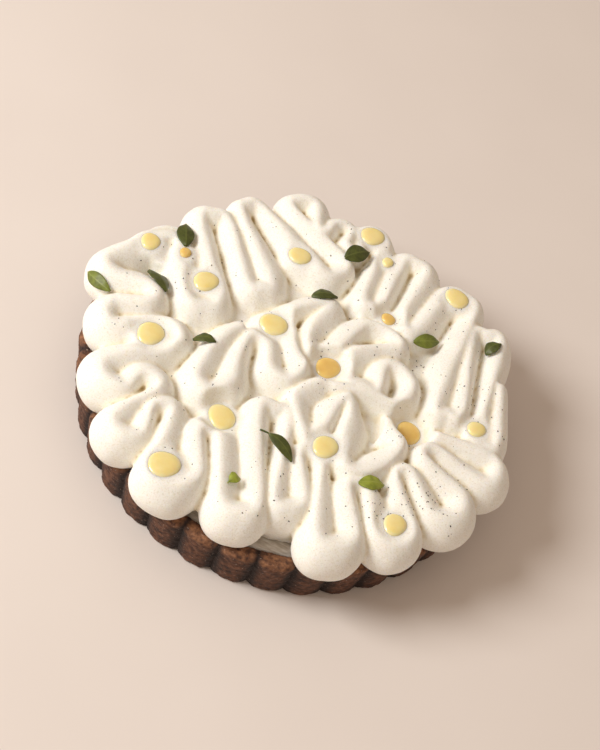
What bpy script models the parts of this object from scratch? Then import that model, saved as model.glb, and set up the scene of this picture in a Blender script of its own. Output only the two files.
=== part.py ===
"""A round lemon tart: a fluted chocolate crust filled to the rim, with one long strand of piped
cream folded into lobes round the edge and coiled in the middle, drops of lemon gel and basil leaves."""

from math import cos, pi, radians, sin, tau

import bmesh
import bpy
from mathutils import Matrix, Vector
from mathutils.bvhtree import BVHTree
from mathutils.kdtree import KDTree

# Driving dimensions in millimetres, with the origin on the table under the crust's middle.
MM = 0.001
GAP = 0.3

CRUST_CUSP_RADIUS = 97.0
CRUST_HEIGHT = 25.0
CRUST_FLARE = 0.12
CRUST_WALL = 5.0
CRUST_FLOOR = 5.0
CRUST_EDGE = 1.2
FLUTES = 36
FLUTE_DEPTH = 2.8
FLUTE_ROUNDING = 0.65
FLUTE_STEPS = 6
FLUTE_START = radians(209.8)

FILLING_BELOW_RIM = 1.0
FILLING_SIDES = 72

BED_RADIUS = 89.0
BED_TOP = 38.0
BED_TOP_RADIUS = 72.0
BED_SIDES = 72
SEAT_STEP = 1.0

STRAND_HALF_WIDTH = 7.4
STRAND_FOOT = 22.0
STRAND_TOP = 48.0
STRAND_SIDES = 12
STRAND_STEP = 2.4
COIL_HALF_WIDTH = 6.7
COIL_TOP = 49.0

# A turn reaches past the places where its two legs begin by a share of half their gap. At the rim
# the strand swells with the gap between its legs, and its crest sinks a little.
TURN_ROUNDNESS = 0.75
RIM_REACH = 80.0
RIM_SINK = 2.0
NOSE_BASE = 5.5
NOSE_SHARE = 0.45

# Each side of a strand widens until it meets the nearest other stretch. It overlaps that a little
# where two folds meet in a crease, and more in the open mouth of one fold.
NEIGHBOUR_REACH = 25.0
OWN_LENGTH = 16.0
TIGHT_MEETING = 0.3
SOFT_MEETING = 3.6
ONE_FOLD = 90.0
LEAST_HALF = 5.5
MOST_HALF = 13.0
EVEN_OUT = 2

CREAM_VOXEL = 1.9
CREAM_SMOOTHING = 5
CREAM_TRIANGLES = 5300

# The turns of the outer strand, from its tucked-in start at the right and round by the back, as
# degrees, reach from the middle, and half the gap between the two legs. No gap means a plain bend.
FOLDS = (
    (21, 95, 0),
    (-3, 92, 5),
    (39, 97, 7.5),
    (2, 70, 6.5),
    (52, 95, 8),
    (47, 54, 5),
    (70, 90, 6.5),
    (68, 47, 5),
    (86, 89, 5),
    (91, 72, 4),
    (96, 89, 4.5),
    (103, 78, 3.5),
    (111, 98, 6.5),
    (92, 55, 8.5),
    (128, 93, 6),
    (142, 41, 6),
    (140, 91, 7),
    (179, 53, 8),
    (157, 87, 0),
    (179, 102, 6.5),
    (-176, 74, 4.5),
    (-165, 94, 6.5),
    (-161, 60, 5.5),
    (-143, 96, 8.5),
    (-140, 74, 5.5),
    (-126, 100, 7.5),
    (-129, 76, 4.5),
    (-107, 98, 10),
    (-113, 66, 4.5),
    (-89, 93, 8.5),
    (-96, 35, 7),
    (-76, 83, 7),
    (-69, 51, 5),
    (-63, 99.5, 9),
    (-52, 69, 4.5),
    (-47, 100, 8.5),
    (-33, 70, 4),
    (-28, 101, 9.5),
    (-19, 69, 4.5),
    (-9, 102, 7.5),
    (-10, 67, 0),
)

# The coiled strand in the middle, as the places that it is led through.
COIL = (
    (-32, -1), (-37, -9), (-41, -24), (-41, -38), (-33, -43), (-26, -34), (-28, -19), (-27, -4),
    (-19, -5), (-13, -17), (-3, -19), (1, -8), (-5, -2), (-11, 8), (-15, 16), (-13, 23), (0, 33),
    (-4, 17), (-2, 5), (4, 2), (12, 12), (16, 23), (20, 32), (31, 33), (38, 27), (27, 19), (19, 13),
    (17, 3), (21, -5), (29, -5), (36, -4), (35, 12), (41, 15), (49, 10), (50, 2), (45, -5), (35, -6),
    (19, -10), (12, -10), (5, -19), (2, -26), (6, -34), (15, -44), (20, -34), (22, -20), (25, -14),
    (28, -22), (29, -33), (30, -44), (36, -51), (44, -49), (51, -41), (55, -27), (49, -18), (44, -18),
)

# A mound that fills the corner behind the left nose, as its place, its radius at foot and top, and its
# height.
CORNER = (-80, 29)
CORNER_FOOT_RADIUS = 18.0
CORNER_TOP_RADIUS = 13.0
CORNER_TOP = 42.5

# Drops of gel as place, width across and how far each sits above the cream round it.
DROPS = (
    (-89, 24, 10, 0.4),
    (-72, 26, 6, 0.0),
    (-57, 15, 12, 0.6),
    (-23, 54, 11, 0.4),
    (5, 88, 12, 0.4),
    (17, 76, 6, 0.2),
    (28, 43, 7, 0.2),
    (55, 73, 12, 0.4),
    (-68, -26, 13, 0.6),
    (-20, 9, 13, 0.6),
    (11, 0, 12, 0.4),
    (-23, -50, 13, 0.6),
    (-36, -88, 14, 0.6),
    (24, -45, 12, 0.6),
    (57, -11, 12, 0.0),
    (85, 2, 9, 0.2),
    (65, -66, 11, 0.6),
)
DROP_HALF_HEIGHT = 2.8
DROP_SEGMENTS = 10
DROP_RINGS = 6
DROP_SINK = 0.9
DROP_NARROWING = 1.03
DISH_LEVEL = 0.8
DISH_EDGE = 6.0

# Leaves as place, length, width, the way that the tip points in degrees, how far the midrib
# bends sideways, and the share that is stalk.
LEAVES = (
    (-101, -8, 16, 6.0, -24, 0, 0),
    (-76, 37, 16, 8.0, 110, 0.5, 0),
    (-77, 4, 16, 8.5, -40, 1.0, 0),
    (-45, -19, 11, 5.0, 3, 0.6, 0),
    (-4, 35, 13, 6.5, 27, 0.6, 0),
    (2, 69, 15, 8.5, 48, 0.4, 0),
    (49, 39, 14, 6.5, 33, 0, 0),
    (80, 52, 10, 6.0, 55, 0.6, 0),
    (4, -56, 20, 5.5, -23, 1.8, 0.2),
    (-6, -81, 7, 4.5, 51, 1.2, 0.1),
    (49, -53, 13, 6.5, 29, 0, 0),
)
LEAF_THICKNESS = 0.7
LEAF_DOME = 1.6
LEAF_FOLD = 0.1
LEAF_WAVE = 0.12
LEAF_WAVES = 3
LEAF_FULLNESS = 0.8
LEAF_TAPER = 0.35
LEAF_TIP = 0.3
LEAF_LEVELLING = 2.5
LEAF_STEPS = 6
LEAF_ACROSS = 4


def clear_scene():
    for old in list(bpy.data.objects):
        bpy.data.objects.remove(old, do_unlink=True)


def material(name, colour, roughness):
    made = bpy.data.materials.new(name)
    made.use_nodes = True
    shader = made.node_tree.nodes["Principled BSDF"]
    shader.inputs["Base Color"].default_value = (*colour, 1.0)
    shader.inputs["Roughness"].default_value = roughness
    shader.inputs["Metallic"].default_value = 0.0
    return made


def add_object(name, bm, finish):
    """Turns a bmesh in millimetres into a named object in metres, with its faces pointing out."""
    bmesh.ops.recalc_face_normals(bm, faces=bm.faces)
    bmesh.ops.scale(bm, vec=(MM, MM, MM), verts=bm.verts)
    mesh = bpy.data.meshes.new(name)
    bm.to_mesh(mesh)
    bm.free()
    mesh.materials.append(finish)
    made = bpy.data.objects.new(name, mesh)
    bpy.context.scene.collection.objects.link(made)
    return made


def as_cutter(item):
    item.hide_render = True
    item.display_type = "WIRE"
    return item


def apply_modifiers(item):
    applied = bpy.data.meshes.new_from_object(item.evaluated_get(bpy.context.evaluated_depsgraph_get()))
    item.modifiers.clear()
    item.data = applied


def cut(item, cutter):
    boolean = item.modifiers.new("Cut by " + cutter.name, "BOOLEAN")
    boolean.operation = "DIFFERENCE"
    boolean.solver = "MANIFOLD"
    boolean.object = cutter


# Crust and filling

def flute_radius(angle, height):
    """Radius of the fluted wall: round bumps that meet in sharp cusps, wider towards the rim."""
    bump = abs(sin((angle - FLUTE_START) * FLUTES / 2)) ** FLUTE_ROUNDING
    return CRUST_CUSP_RADIUS + CRUST_FLARE * height + FLUTE_DEPTH * bump


def inner_radius(height):
    return CRUST_CUSP_RADIUS + CRUST_FLARE * height - CRUST_WALL


def stack_rings(bm, rings):
    """Joins closed rings of points with faces, and closes the first and last ring with a fan."""
    loops = [[bm.verts.new(point) for point in ring] for ring in rings]
    count = len(loops[0])
    for low, high in zip(loops, loops[1:]):
        for k in range(count):
            after = (k + 1) % count
            bm.faces.new((low[k], low[after], high[after], high[k]))
    for loop in (loops[0], loops[-1]):
        middle = bm.verts.new((0, 0, loop[0].co.z))
        for k in range(count):
            bm.faces.new((loop[k], loop[(k + 1) % count], middle))


def ring_of(radius_at, height, count):
    angles = [FLUTE_START + k * tau / count for k in range(count)]
    return [(radius_at(a) * cos(a), radius_at(a) * sin(a), height) for a in angles]


def make_crust(finish):
    count = FLUTES * FLUTE_STEPS
    shoulder = CRUST_HEIGHT - CRUST_EDGE
    rings = [
        ring_of(lambda a: flute_radius(a, 0) - CRUST_EDGE, 0, count),
        ring_of(lambda a: flute_radius(a, CRUST_EDGE), CRUST_EDGE, count),
        ring_of(lambda a: flute_radius(a, shoulder), shoulder, count),
        ring_of(lambda a: flute_radius(a, CRUST_HEIGHT) - CRUST_EDGE, CRUST_HEIGHT, count),
        ring_of(lambda a: inner_radius(CRUST_HEIGHT), CRUST_HEIGHT, count),
        ring_of(lambda a: inner_radius(CRUST_FLOOR), CRUST_FLOOR, count),
    ]
    bm = bmesh.new()
    stack_rings(bm, rings)
    return add_object("crust", bm, finish)


def filling_top():
    return CRUST_HEIGHT - FILLING_BELOW_RIM


def make_filling(finish):
    low = CRUST_FLOOR + GAP
    high = filling_top()
    bm = bmesh.new()
    rings = [
        ring_of(lambda a: inner_radius(low) - 2 * GAP, low, FILLING_SIDES),
        ring_of(lambda a: inner_radius(high) - 2 * GAP, high, FILLING_SIDES),
    ]
    stack_rings(bm, rings)
    return add_object("filling", bm, finish)


# Piped cream

def polar(angle, reach):
    return Vector((reach * cos(radians(angle)), reach * sin(radians(angle))))


def fold_route():
    """Leads the outer strand through every turn, with a shoulder on each side of it."""
    tips = [polar(angle, reach) for angle, reach, half_gap in FOLDS]
    route = []
    for k, (angle, reach, half_gap) in enumerate(FOLDS):
        tip = tips[k]
        at_rim = reach > RIM_REACH
        half_width = NOSE_BASE + NOSE_SHARE * half_gap if at_rim and half_gap else STRAND_HALF_WIDTH
        crest = STRAND_TOP - (RIM_SINK if at_rim else 0)
        if not half_gap:
            route.append((tip, half_width, crest))
            continue
        along = (tip - (tips[k - 1] + tips[k + 1]) / 2).normalized()
        across = Vector((-along.y, along.x))
        if across.dot(tips[k + 1] - tips[k - 1]) < 0:
            across = -across
        for side in (-1, 0, 1):
            place = tip + half_gap * (across * side - along * TURN_ROUNDNESS * abs(side))
            route.append((place, half_width, crest))
    return route


def smooth_route(route):
    """Points about STRAND_STEP apart on a Catmull-Rom curve through the route."""
    last = len(route) - 1
    points = []
    for k in range(last):
        a, b, c, d = (route[min(max(k + i, 0), last)] for i in (-1, 0, 1, 2))
        steps = max(1, round((c[0] - b[0]).length / STRAND_STEP))
        for i in range(steps):
            t = i / steps
            place = 0.5 * (2 * b[0] + (c[0] - a[0]) * t + (2 * a[0] - 5 * b[0] + 4 * c[0] - d[0]) * t * t
                           + (3 * b[0] - a[0] - 3 * c[0] + d[0]) * t * t * t)
            points.append((place, b[1] + (c[1] - b[1]) * t, b[2] + (c[2] - b[2]) * t))
    points.append(route[last])
    return points


def directions(points, k):
    """The ways along and to the left of a strand at one of its points."""
    last = len(points) - 1
    along = (points[min(k + 1, last)][0] - points[max(k - 1, 0)][0]).normalized()
    return along, Vector((-along.y, along.x))


def side_room(strands, owners, tree, strand, k):
    """Half the distance to the nearest other stretch, plus the overlap there, on the left and right."""
    points = strands[strand]
    place = points[k][0]
    along, across = directions(points, k)
    nearest = {True: None, False: None}
    half = {True: points[k][1], False: points[k][1]}
    for spot, index, distance in tree.find_range((*place, 0), NEIGHBOUR_REACH):
        other, m = owners[index]
        offset = spot.to_2d() - place
        left = offset.dot(across) > 0
        same_stretch = other == strand and abs(m - k) * STRAND_STEP < OWN_LENGTH
        ahead = abs(offset.dot(across)) < abs(offset.dot(along))
        if same_stretch or ahead or (nearest[left] is not None and distance >= nearest[left]):
            continue
        nearest[left] = distance
        meeting = TIGHT_MEETING
        if other == strand and abs(m - k) * STRAND_STEP < ONE_FOLD:
            turn = points[(m + k) // 2][0] - (place + spot.to_2d()) / 2
            open_share = (1 - turn.normalized().y) / 2
            meeting += (SOFT_MEETING - TIGHT_MEETING) * open_share
        half[left] = min(max(distance / 2 + meeting, LEAST_HALF), MOST_HALF)
    return half[True], half[False]


def mean_of(pairs):
    return [sum(pair[side] for pair in pairs) / len(pairs) for side in (0, 1)]


def spread_out(strands):
    """Widens every strand on each side until it meets its neighbour, and returns strands whose
    points give a place, a half width to the left and to the right, and a crest."""
    owners = [(strand, k) for strand, points in enumerate(strands) for k in range(len(points))]
    tree = KDTree(len(owners))
    for index, (strand, k) in enumerate(owners):
        tree.insert((*strands[strand][k][0], 0), index)
    tree.balance()
    widened = []
    for strand, points in enumerate(strands):
        halves = [side_room(strands, owners, tree, strand, k) for k in range(len(points))]
        widened.append([
            (place, *mean_of(halves[max(k - EVEN_OUT, 0):k + EVEN_OUT + 1]), crest)
            for k, (place, half_width, crest) in enumerate(points)])
    return widened


def sweep_strand(bm, points):
    """A tall rounded strand along points of a place, its half widths left and right, and a crest."""
    loops = []
    for k, (place, left, right, crest) in enumerate(points):
        across = directions(points, k)[1]
        middle = (crest + STRAND_FOOT) / 2
        half_height = (crest - STRAND_FOOT) / 2
        loop = []
        for i in range(STRAND_SIDES):
            turn = tau * i / STRAND_SIDES
            side = place + across * (left if cos(turn) > 0 else right) * cos(turn)
            loop.append(bm.verts.new((side.x, side.y, middle + half_height * sin(turn))))
        loops.append(loop)
    for first, second in zip(loops, loops[1:]):
        for i in range(STRAND_SIDES):
            j = (i + 1) % STRAND_SIDES
            bm.faces.new((first[i], first[j], second[j], second[i]))
    bm.faces.new(loops[0])
    bm.faces.new(reversed(loops[-1]))


def add_bed(bm):
    """The layer of cream under the strands, which closes the gaps between the folds."""
    foot = filling_top() + GAP
    bmesh.ops.create_cone(
        bm, cap_ends=True, segments=BED_SIDES, radius1=BED_RADIUS, radius2=BED_TOP_RADIUS,
        depth=BED_TOP - foot, matrix=Matrix.Translation((0, 0, (BED_TOP + foot) / 2)))
    bmesh.ops.create_cone(
        bm, cap_ends=True, segments=BED_SIDES, radius1=CORNER_FOOT_RADIUS, radius2=CORNER_TOP_RADIUS,
        depth=CORNER_TOP - foot, matrix=Matrix.Translation((*CORNER, (CORNER_TOP + foot) / 2)))


def run_together(cream):
    remesh = cream.modifiers.new("Run together", "REMESH")
    remesh.mode = "VOXEL"
    remesh.voxel_size = CREAM_VOXEL * MM
    apply_modifiers(cream)


def make_cream(finish):
    """Returns the cream and the height of each drop that will lie on it."""
    bm = bmesh.new()
    coil = [(Vector(place), COIL_HALF_WIDTH, COIL_TOP) for place in COIL]
    for points in spread_out([smooth_route(route) for route in (fold_route(), coil)]):
        sweep_strand(bm, points)
    add_bed(bm)
    cream = add_object("cream", bm, finish)
    run_together(cream)
    heights = drop_heights(surface_of(cream))
    press_dishes(cream, heights)
    run_together(cream)
    soften = cream.modifiers.new("Soften", "SMOOTH")
    soften.iterations = CREAM_SMOOTHING
    evaluated = cream.evaluated_get(bpy.context.evaluated_depsgraph_get())
    triangles = sum(len(face.vertices) - 2 for face in evaluated.data.polygons)
    thin = cream.modifiers.new("Fewer faces", "DECIMATE")
    thin.ratio = CREAM_TRIANGLES / triangles
    apply_modifiers(cream)
    return cream, heights


def surface_of(item):
    return BVHTree.FromObject(item, bpy.context.evaluated_depsgraph_get())


def height_on(surface, x, y):
    """Height in millimetres where a plumb line at x, y first meets the cream."""
    place = surface.ray_cast(Vector((x, y, 2 * STRAND_TOP)) * MM, Vector((0, 0, -1)))[0]
    return place.z / MM if place else CRUST_HEIGHT


def lie_of_cream(surface, x, y, spread):
    """Mean height and slope of the cream round a place."""
    east, west = height_on(surface, x + spread, y), height_on(surface, x - spread, y)
    north, south = height_on(surface, x, y + spread), height_on(surface, x, y - spread)
    mean = (east + west + north + south + 2 * height_on(surface, x, y)) / 6
    return mean, (east - west) / (2 * spread), (north - south) / (2 * spread)


# Drops of gel

def drop_shape(bm, x, y, z, width, margin):
    half = width / 2 + margin
    size = Matrix.Diagonal((half, half * DROP_NARROWING, DROP_HALF_HEIGHT + margin, 1))
    placed = Matrix.Translation((x, y, z)) @ size
    bmesh.ops.create_uvsphere(bm, u_segments=DROP_SEGMENTS, v_segments=DROP_RINGS, radius=1, matrix=placed)


def drop_heights(surface):
    """The height of each drop's middle, from the cream that it fell on."""
    return [lie_of_cream(surface, x, y, width / 3)[0] - DROP_SINK + rise for x, y, width, rise in DROPS]


def press_dishes(cream, heights):
    """Eases the top of the cream to the level of each drop's edge, in a shallow dish round it."""
    for z, (x, y, width, rise) in zip(heights, DROPS):
        for vert in cream.data.vertices:
            place = vert.co / MM
            away = Vector((place.x - x, (place.y - y) / DROP_NARROWING)).length - width / 2
            if away < DISH_EDGE and vert.normal.z > 0:
                share = max(away / DISH_EDGE, 0)
                vert.co.z += (z + DISH_LEVEL - place.z) * (1 - share * share * (3 - 2 * share)) * MM
    cream.data.update()


def make_drops(heights, finish):
    cutter = bmesh.new()
    for k, (z, (x, y, width, rise)) in enumerate(zip(heights, DROPS), 1):
        bm = bmesh.new()
        drop_shape(bm, x, y, z, width, 0)
        add_object("gel_drop_{:02d}".format(k), bm, finish).data.shade_smooth()
        drop_shape(cutter, x, y, z, width, GAP)
    return as_cutter(add_object("drop_hollows", cutter, finish))


# Leaves

def leaf_point(s, t, length, width, bend, stalk, side):
    """A point of a leaf: s from stalk to tip, t from edge to edge, side 1 above and -1 below."""
    blade = max(0, s - stalk) / (1 - stalk)
    outline = sin(pi * blade) ** LEAF_FULLNESS * (1 + LEAF_TAPER * (0.5 - blade))
    half = width / 2 * outline + LEAF_TIP
    along = (s - 0.5) * length
    across = t * half + bend * (1 - (2 * s - 1) ** 2)
    dome = LEAF_DOME * (1 - (2 * s - 1) ** 2) - LEAF_FOLD * abs(t) * width
    wave = LEAF_WAVE * sin(LEAF_WAVES * tau * s) * t
    return Vector((along, across, dome + wave + side * LEAF_THICKNESS / 2))


def leaf_shape(length, width, bend, stalk, placed):
    """Both faces are the same grid, split into triangles the same way."""
    bm = bmesh.new()
    faces = {}
    for side in (1, -1):
        for i in range(LEAF_STEPS + 1):
            for j in range(LEAF_ACROSS + 1):
                s, t = i / LEAF_STEPS, 2 * j / LEAF_ACROSS - 1
                point = leaf_point(s, t, length, width, bend, stalk, side)
                faces[side, i, j] = bm.verts.new(placed @ point)
        for i in range(LEAF_STEPS):
            for j in range(LEAF_ACROSS):
                a, b = faces[side, i, j], faces[side, i + 1, j]
                c, d = faces[side, i + 1, j + 1], faces[side, i, j + 1]
                bm.faces.new((a, b, c))
                bm.faces.new((a, c, d))
    rim = [(i, 0) for i in range(LEAF_STEPS)]
    rim += [(LEAF_STEPS, j) for j in range(LEAF_ACROSS)]
    rim += [(i, LEAF_ACROSS) for i in range(LEAF_STEPS, 0, -1)]
    rim += [(0, j) for j in range(LEAF_ACROSS, 0, -1)]
    for first, second in zip(rim, rim[1:] + rim[:1]):
        bm.faces.new((faces[1, first[0], first[1]], faces[1, second[0], second[1]],
                      faces[-1, second[0], second[1]], faces[-1, first[0], first[1]]))
    bmesh.ops.recalc_face_normals(bm, faces=bm.faces)
    return bm


def make_leaves(surface, finish):
    """Each leaf leans with the cream under it and is lowered until it all but touches."""
    for k, (x, y, length, width, heading, bend, stalk) in enumerate(LEAVES, 1):
        z, slope_x, slope_y = lie_of_cream(surface, x, y, length / 3)
        up = Vector((-slope_x, -slope_y, LEAF_LEVELLING)).normalized()
        lean = Vector((0, 0, 1)).rotation_difference(up).to_matrix().to_4x4()
        placed = Matrix.Translation((x, y, z)) @ lean @ Matrix.Rotation(radians(heading), 4, "Z")
        bm = leaf_shape(length, width, bend, stalk, placed)
        rise = max(height_on(surface, vert.co.x, vert.co.y) - vert.co.z for vert in bm.verts) + GAP
        bmesh.ops.translate(bm, verts=bm.verts, vec=(0, 0, rise))
        add_object("leaf_{:02d}".format(k), bm, finish).data.shade_smooth()


def make_seat(finish):
    """What the cream must stay clear of: the crust and the filling with a gap all round."""
    rim = CRUST_HEIGHT + GAP
    reach = CRUST_CUSP_RADIUS + CRUST_FLARE * CRUST_HEIGHT + FLUTE_DEPTH + GAP
    inside = inner_radius(CRUST_HEIGHT) - SEAT_STEP
    rings = [
        ring_of(lambda a: reach, 0, FILLING_SIDES),
        ring_of(lambda a: reach, rim, FILLING_SIDES),
        ring_of(lambda a: inside, rim, FILLING_SIDES),
        ring_of(lambda a: inside - SEAT_STEP, filling_top() + GAP, FILLING_SIDES),
    ]
    bm = bmesh.new()
    stack_rings(bm, rings)
    return as_cutter(add_object("seat", bm, finish))


def body_with(face):
    """All the faces that can be reached from one across shared edges."""
    found = {face}
    waiting = [face]
    while waiting:
        for edge in waiting.pop().edges:
            for neighbour in edge.link_faces:
                if neighbour not in found:
                    found.add(neighbour)
                    waiting.append(neighbour)
    return found


def apply_and_drop_scraps(item):
    """Applies the modifiers and keeps the largest body, without the crumbs that the cuts leave."""
    bm = bmesh.new()
    bm.from_object(item, bpy.context.evaluated_depsgraph_get())
    left = set(bm.faces)
    bodies = []
    while left:
        body = body_with(next(iter(left)))
        bodies.append(body)
        left -= body
    bodies.sort(key=len)
    for scrap in bodies[:-1]:
        bmesh.ops.delete(bm, geom=list(scrap), context="FACES")
    item.modifiers.clear()
    bm.to_mesh(item.data)
    bm.free()


def main():
    clear_scene()
    chocolate = material("chocolate crust", (0.13, 0.052, 0.03), 0.75)
    pale = material("pale filling", (0.80, 0.77, 0.70), 0.5)
    white = material("piped cream", (0.90, 0.86, 0.78), 0.55)
    yellow = material("lemon gel", (0.86, 0.70, 0.20), 0.15)
    green = material("basil", (0.10, 0.20, 0.04), 0.4)
    make_crust(chocolate)
    make_filling(pale)
    cream, heights = make_cream(white)
    drop_hollows = make_drops(heights, yellow)
    make_leaves(surface_of(cream), green)
    cut(cream, make_seat(white))
    cut(cream, drop_hollows)
    apply_and_drop_scraps(cream)


main()
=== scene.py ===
"""The looks of the lemon tart: fine cream, crust, gel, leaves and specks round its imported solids.

Lengths are millimetres, with the origin on the table under the crust's middle. MM turns them into
metres."""

import random
from math import cos, pi, radians, sin, tau

import bmesh
import bpy
from mathutils import Matrix, Vector, noise
from mathutils.bvhtree import BVHTree
from mathutils.kdtree import KDTree


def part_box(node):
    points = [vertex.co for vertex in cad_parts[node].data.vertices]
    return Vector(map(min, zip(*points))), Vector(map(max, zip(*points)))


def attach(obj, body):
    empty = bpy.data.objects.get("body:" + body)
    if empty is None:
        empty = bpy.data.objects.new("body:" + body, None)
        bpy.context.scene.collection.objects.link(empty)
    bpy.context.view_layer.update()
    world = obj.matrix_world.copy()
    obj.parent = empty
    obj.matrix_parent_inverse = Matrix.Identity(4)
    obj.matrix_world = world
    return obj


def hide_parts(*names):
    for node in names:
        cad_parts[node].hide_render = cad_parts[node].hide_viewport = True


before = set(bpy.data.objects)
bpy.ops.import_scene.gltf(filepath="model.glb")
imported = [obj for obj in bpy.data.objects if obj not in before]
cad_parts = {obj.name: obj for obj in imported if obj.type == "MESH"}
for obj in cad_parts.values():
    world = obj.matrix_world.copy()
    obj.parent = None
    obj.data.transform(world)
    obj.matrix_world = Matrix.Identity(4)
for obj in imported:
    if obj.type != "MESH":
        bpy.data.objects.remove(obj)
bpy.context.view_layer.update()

chance = random.Random(27)

MM = 0.001
GAP = 0.3
BODY = "root"

# Camera, from the crust's flutes in the photograph
CAMERA_ELEVATION = radians(50.5)
CAMERA_ROLL = radians(-24.5)
CAMERA_DISTANCE = 773.84
CAMERA_TARGET = Vector((0.74, 24.88, 0))
FRAME_HEIGHT = 750
FOCAL_PIXELS = 1575
SENSOR = 36

# A large soft window to the left and front, and the room's warm light from all round
WINDOW_PLACE = (-1300, -470, 1110)
WINDOW_SIZE = 800
WINDOW_POWER = 27.5
WINDOW_COLOUR = (1.0, 0.985, 0.96)
ROOM_COLOUR = (1.0, 0.80, 0.64, 1)
ROOM_STRENGTH = 0.46
FLOOR_REACH = 3000

# Crust and filling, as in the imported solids
CRUST_CUSP_RADIUS = 97.0
CRUST_HEIGHT = 25.0
CRUST_FLARE = 0.12
CRUST_WALL = 5.0
CRUST_FLOOR = 5.0
FLUTES = 36
FLUTE_DEPTH = 2.8
FLUTE_ROUNDING = 0.65
FLUTE_START = radians(209.8)
FILLING_BELOW_RIM = 1.0
FILLING_ROWS = 24
FILLING_SKIN = 1.0
FILLING_WAVE = 0.5
FILLING_WAVE_GRAIN = (3, 8)

# Fine crust
FINE_FLUTE_STEPS = 30
FOOT_ROUND = 1.2
RIM_ROUND = 2.2
RIM_INNER_ROUND = 0.8
WALL_ROWS = 64
ROUND_ROWS = 5
RIM_ROWS = 12
# The rim's top face: browner baked pastry, painted lighter as painted light where the light falls on it
RIM_COLOUR_START = 2.0
RIM_COLOUR_FADE = 1.6
RIM_COLOUR_UNEVEN = 0.5
RIM_COLOUR_GRAIN = 3
# Painted shade in the flute cusps, deeper towards the foot and less on the rim's top
CUSP_DARKNESS = 2.1
FOOT_DARKNESS = 0.35
RIM_LIGHTNESS = 0.4

# Lumps, crumbs and layers of the crust, as the grain across, the grain up and the depth
CRUST_RELIEF = (
    (9, 9, 0.34),
    (3, 2.2, 0.34),
    (2.4, 0.7, 0.22),
    (1.1, 1.1, 0.2),
)

# Cream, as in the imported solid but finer
BED_RADIUS = 89.0
BED_TOP = 38.0
BED_TOP_RADIUS = 72.0
SEAT_STEP = 1.0
SEAT_MARGIN = 2.0
ROUND_SIDES = 144
STRAND_HALF_WIDTH = 7.4
STRAND_FOOT = 22.0
STRAND_TOP = 48.0
STRAND_SIDES = 28
CREST_SHARPNESS = 1.2
STRAND_STEP = 1.2
COIL_HALF_WIDTH = 6.7
COIL_TOP = 49.0
TURN_ROUNDNESS = 0.75
RIM_REACH = 80.0
RIM_SINK = 2.0
NOSE_BASE = 5.5
NOSE_SHARE = 0.45
NEIGHBOUR_REACH = 25.0
OWN_LENGTH = 16.0
TIGHT_MEETING = 0.3
SOFT_MEETING = 3.6
ONE_FOLD = 90.0
LEAST_HALF = 5.5
MOST_HALF = 13.0
EVEN_OUT = 4
CREAM_VOXEL = 0.85
CREAM_SMOOTHING = 3
WIDTH_UNEVEN = 0.05
WIDTH_GRAIN = 11
CREST_UNEVEN = 0.9
CREST_GRAIN = 15
CREST_NOISE_SHIFT = Vector((50, 0, 0))
# How the painted shade in the cream's creases is spread, and how deep a hollow must be to take it
CREASE_SPREADING = 2
CREASE_START = 0.012
CREASE_RANGE = 0.11
SHARP_ANGLE = radians(50)

# Swell and bubbles of the cream, as the grain across, the grain up and the depth
CREAM_RELIEF = (
    (14, 14, 0.35),
    (2.2, 2.2, 0.07),
)

# The turns of the outer strand, as degrees, reach and half the gap between the two legs
FOLDS = (
    (21, 95, 0),
    (-3, 92, 5),
    (39, 97, 7.5),
    (2, 70, 6.5),
    (52, 95, 8),
    (47, 54, 5),
    (70, 90, 6.5),
    (68, 47, 5),
    (86, 89, 5),
    (91, 72, 4),
    (96, 89, 4.5),
    (103, 78, 3.5),
    (111, 98, 6.5),
    (92, 55, 8.5),
    (128, 93, 6),
    (142, 41, 6),
    (140, 91, 7),
    (179, 53, 8),
    (157, 87, 0),
    (179, 102, 6.5),
    (-176, 74, 4.5),
    (-165, 94, 6.5),
    (-161, 60, 5.5),
    (-143, 96, 8.5),
    (-140, 74, 5.5),
    (-126, 100, 7.5),
    (-129, 76, 4.5),
    (-107, 98, 10),
    (-113, 66, 4.5),
    (-89, 93, 8.5),
    (-96, 35, 7),
    (-76, 83, 7),
    (-69, 51, 5),
    (-63, 99.5, 9),
    (-52, 69, 4.5),
    (-47, 100, 8.5),
    (-33, 70, 4),
    (-28, 101, 9.5),
    (-19, 69, 4.5),
    (-9, 102, 7.5),
    (-10, 67, 0),
)

# The coiled strand in the middle, as the places that it is led through
COIL = (
    (-32, -1), (-37, -9), (-41, -24), (-41, -38), (-33, -43), (-26, -34), (-28, -19), (-27, -4),
    (-19, -5), (-13, -17), (-3, -19), (1, -8), (-5, -2), (-11, 8), (-15, 16), (-13, 23), (0, 33),
    (-4, 17), (-2, 5), (4, 2), (12, 12), (16, 23), (20, 32), (31, 33), (38, 27), (27, 19), (19, 13),
    (17, 3), (21, -5), (29, -5), (36, -4), (35, 12), (41, 15), (49, 10), (50, 2), (45, -5), (35, -6),
    (19, -10), (12, -10), (5, -19), (2, -26), (6, -34), (15, -44), (20, -34), (22, -20), (25, -14),
    (28, -22), (29, -33), (30, -44), (36, -51), (44, -49), (51, -41), (55, -27), (49, -18), (44, -18),
)

# A mound that fills the corner behind the left nose
CORNER = (-80, 29)
CORNER_FOOT_RADIUS = 18.0
CORNER_TOP_RADIUS = 13.0
CORNER_TOP = 42.5

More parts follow.
